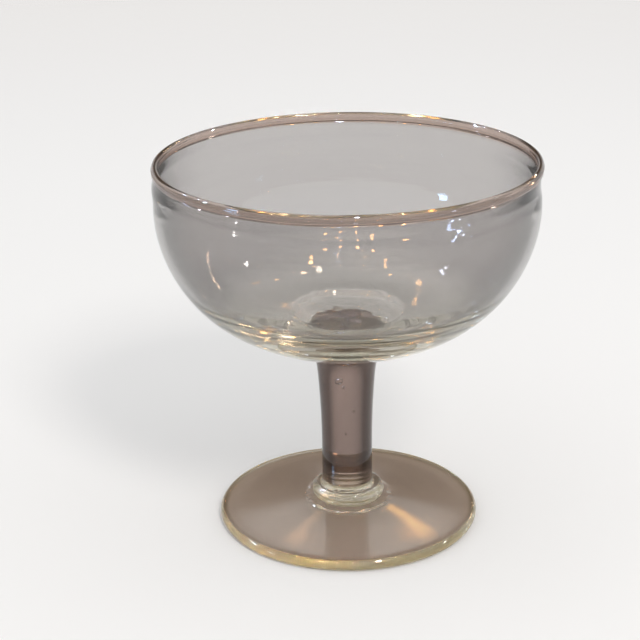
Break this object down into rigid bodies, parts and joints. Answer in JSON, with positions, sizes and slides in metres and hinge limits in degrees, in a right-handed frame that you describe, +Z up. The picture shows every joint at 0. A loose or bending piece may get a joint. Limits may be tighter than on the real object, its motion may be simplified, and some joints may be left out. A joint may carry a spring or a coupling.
{
  "type": "footed dessert glass",
  "caption": "Clear glass dessert coupe: wide rounded bowl with a thickened lip, short solid stem, collar and round foot.",
  "frame": {"origin": "centre of the foot's resting ring, at the bottom of the glass", "axes": "+Z up along the stem's axis, towards the mouth of the bowl; X and Y are alike, because the glass is turned"},
  "size_m": [0.1004, 0.1004, 0.1002],
  "materials": {
    "foot_glass": "clear soda-lime glass, fire-polished, faint tooling rings",
    "collar_glass": "clear soda-lime glass, fire-polished",
    "stem_glass": "clear soda-lime glass, fire-polished, a few seeds",
    "bowl_glass": "clear soda-lime glass, fire-polished"
  },
  "bodies": {
    "root": {"foot": "foot_glass", "collar": "collar_glass", "stem": "stem_glass", "bowl": "bowl_glass"}
  },
  "joints": []
}
